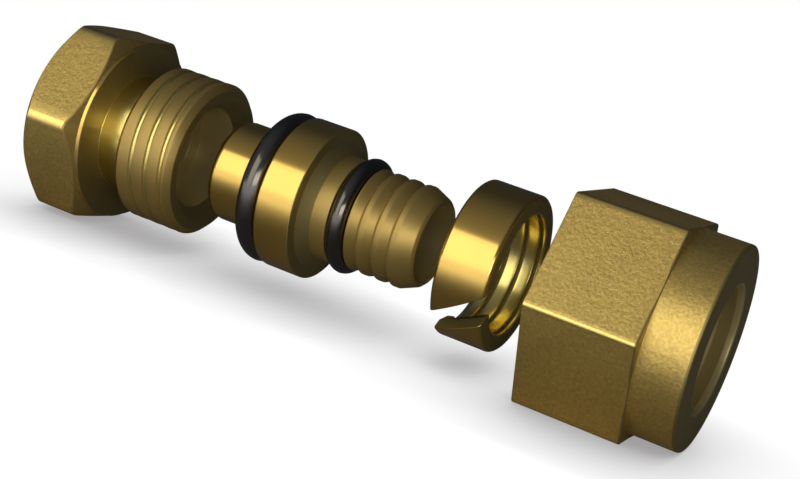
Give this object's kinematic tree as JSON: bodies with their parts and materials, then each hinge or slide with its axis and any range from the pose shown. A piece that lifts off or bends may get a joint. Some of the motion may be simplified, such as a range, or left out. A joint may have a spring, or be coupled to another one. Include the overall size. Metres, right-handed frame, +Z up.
{
  "type": "pipe compression coupling",
  "caption": "Brass compression coupling for plastic pipe, drawn apart in line: threaded hexagon body, barbed insert with rubber rings, split ring and union nut.",
  "frame": {"origin": "centre of the female port's mouth, on the left end face of the male body", "axes": "+X along the common axis towards the pipe's entry in the union nut, +Z up, with a flat of each hexagon facing down"},
  "size_m": [0.0957, 0.0312, 0.027],
  "materials": {
    "hexagon_brass": "satin flats with polished turned surfaces",
    "turned_brass": "polished, turned",
    "rubber": "glossy black"
  },
  "bodies": {
    "nut_side": {"union_nut": "hexagon_brass"},
    "ring_side": {"split_ring": "turned_brass"},
    "insert_side": {"barbed_insert": "turned_brass", "stem_o_ring": "rubber"},
    "seal_side": {"collar_o_ring": "rubber"},
    "body_side": {"male_body": "hexagon_brass"}
  },
  "joints": [
    {"name": "ring_slide", "type": "slide", "parent": "nut_side", "child": "ring_side", "axis": [1, 0, 0], "range_m": [0, 0.0242]},
    {"name": "insert_slide", "type": "slide", "parent": "ring_side", "child": "insert_side", "axis": [1, 0, 0], "range_m": [0, 0.02065]},
    {"name": "body_turn", "type": "hinge", "parent": "insert_side", "child": "seal_side", "pos_m": [0.034, 0, 0], "axis": [1, 0, 0], "continuous": true},
    {"name": "body_slide", "type": "slide", "parent": "seal_side", "child": "body_side", "axis": [1, 0, 0], "range_m": [0, 0.0097]}
  ]
}
